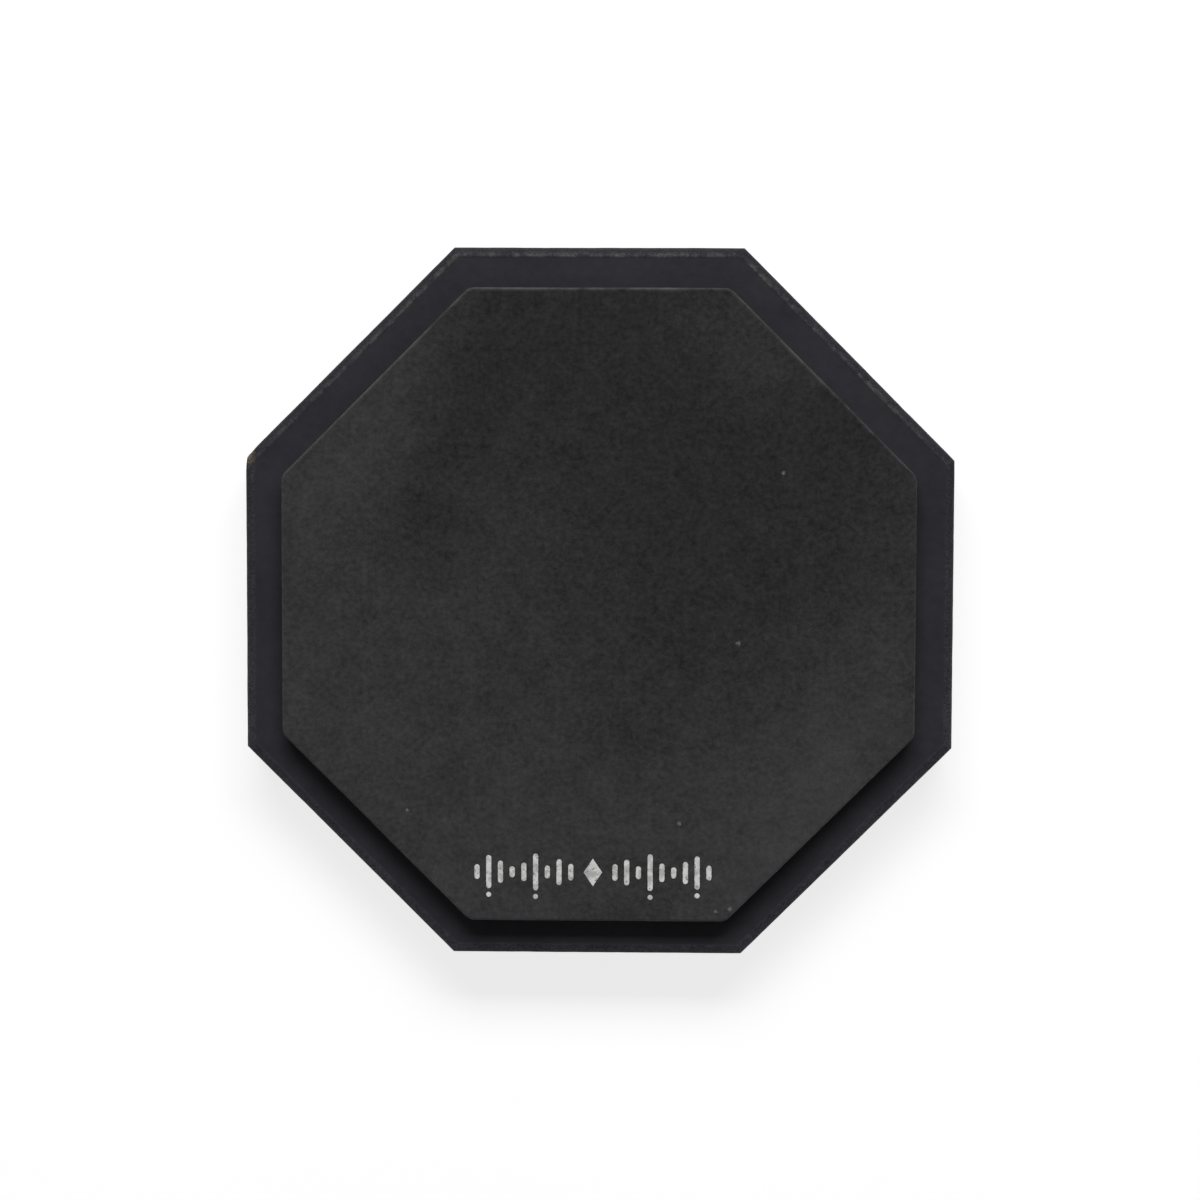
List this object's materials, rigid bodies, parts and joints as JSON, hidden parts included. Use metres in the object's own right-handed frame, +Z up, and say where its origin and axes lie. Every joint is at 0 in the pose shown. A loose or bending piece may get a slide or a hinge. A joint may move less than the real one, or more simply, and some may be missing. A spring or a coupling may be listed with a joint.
{
  "type": "practice pad",
  "caption": "Octagonal drum practice pad: black rubber playing surface glued to a painted fibreboard base on screwed rubber feet, with a threaded stand insert.",
  "frame": {"origin": "on the surface the pad stands on, under the centre of the board", "axes": "+Z up, out of the playing surface; -Y towards the player, where the printed strip is; +X to the player's right"},
  "size_m": [0.305, 0.305, 0.0324],
  "materials": {
    "painted_board": "satin black paint on fibreboard",
    "adhesive": "dried contact adhesive",
    "playing_rubber": "matte, finely grained black rubber sheet",
    "white_ink": "thin worn white print",
    "zinc_steel": "bright zinc plating",
    "foot_rubber": "matte moulded rubber",
    "screw_steel": "zinc plating"
  },
  "bodies": {
    "root": {"base_board": "painted_board", "contact_adhesive": "adhesive", "playing_surface": "playing_rubber", "printed_strip": "white_ink", "tee_nut": "zinc_steel", "rubber_foot_1": "foot_rubber", "rubber_foot_2": "foot_rubber", "rubber_foot_3": "foot_rubber", "rubber_foot_4": "foot_rubber", "foot_washer_1": "zinc_steel", "foot_washer_2": "zinc_steel", "foot_washer_3": "zinc_steel", "foot_washer_4": "zinc_steel", "foot_screw_1": "screw_steel", "foot_screw_2": "screw_steel", "foot_screw_3": "screw_steel", "foot_screw_4": "screw_steel"}
  },
  "joints": []
}
